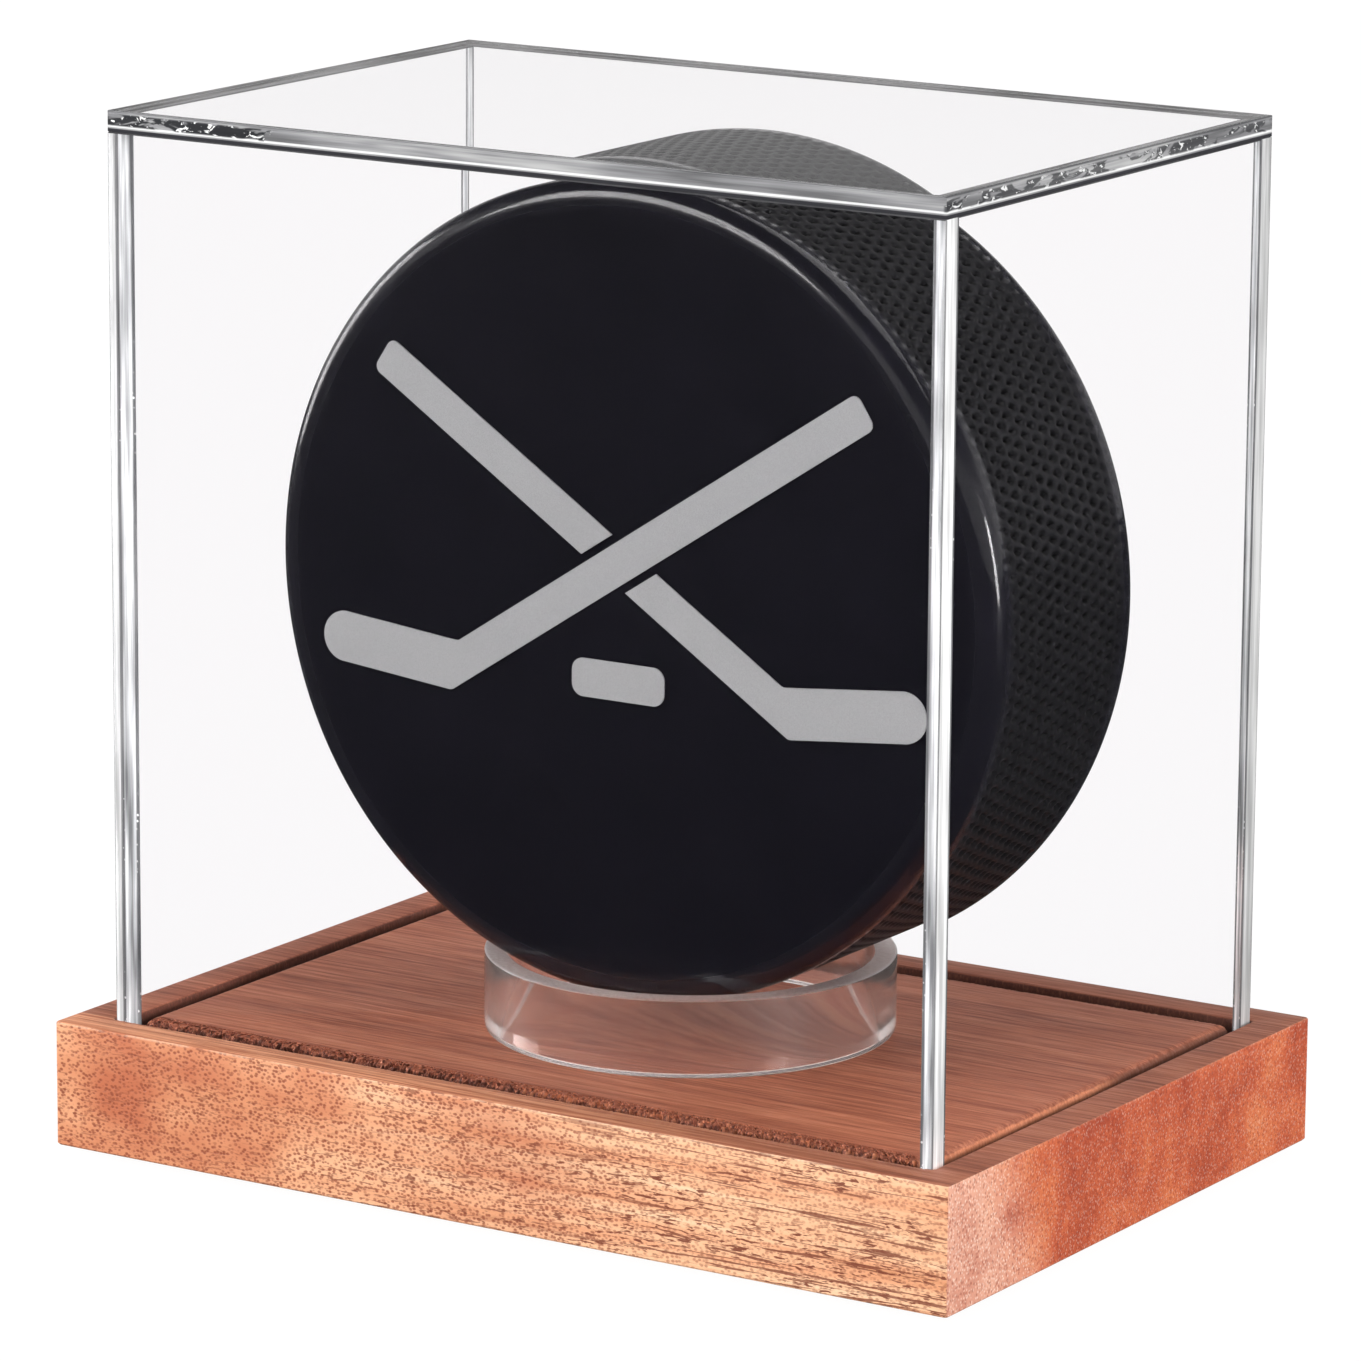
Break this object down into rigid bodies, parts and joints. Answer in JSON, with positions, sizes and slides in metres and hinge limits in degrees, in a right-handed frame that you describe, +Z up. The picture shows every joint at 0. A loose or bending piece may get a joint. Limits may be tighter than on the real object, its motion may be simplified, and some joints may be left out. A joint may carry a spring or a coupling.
{
  "type": "hockey puck display case",
  "caption": "Tabletop display case with a routed wooden base, a lift-off clear acrylic cover and a clear ring that stands a hockey puck on its edge.",
  "frame": {"origin": "on the ground under the middle of the base", "axes": "+Z up, +X to the right along the base's long side, -Y to the front, where the printed face of the puck looks"},
  "size_m": [0.097, 0.067, 0.0988],
  "materials": {
    "stained_wood": "fine open grain, thin satin oil",
    "clear_acrylic": "clear, flame-polished edges",
    "ring_acrylic": "clear extruded tube, slightly milky edges",
    "puck_rubber": "satin moulded faces, knurled side",
    "print_ink": "flat light grey printed ink",
    "pad_rubber": "matt"
  },
  "bodies": {
    "base": {"wooden_base": "stained_wood", "foot_pad_front_left": "pad_rubber", "foot_pad_front_right": "pad_rubber", "foot_pad_back_left": "pad_rubber", "foot_pad_back_right": "pad_rubber"},
    "cover": {"cover_front_panel": "clear_acrylic", "cover_back_panel": "clear_acrylic", "cover_left_panel": "clear_acrylic", "cover_right_panel": "clear_acrylic", "cover_top_panel": "clear_acrylic"},
    "ring": {"riser_ring": "ring_acrylic"},
    "puck": {"puck": "puck_rubber", "puck_print": "print_ink"}
  },
  "joints": [
    {"name": "cover_lift", "type": "slide", "parent": "base", "child": "cover", "axis": [0, 0, 1], "range_m": [0, 0.1]},
    {"name": "riser_turn", "type": "hinge", "parent": "base", "child": "ring", "pos_m": [0.0012, 0, 0.013], "axis": [0, 0, 1], "range_deg": [-24, 24]},
    {"name": "puck_turn", "type": "hinge", "parent": "ring", "child": "puck", "pos_m": [0.0012, 0, 0.05615], "axis": [0, 1, 0], "continuous": true}
  ]
}
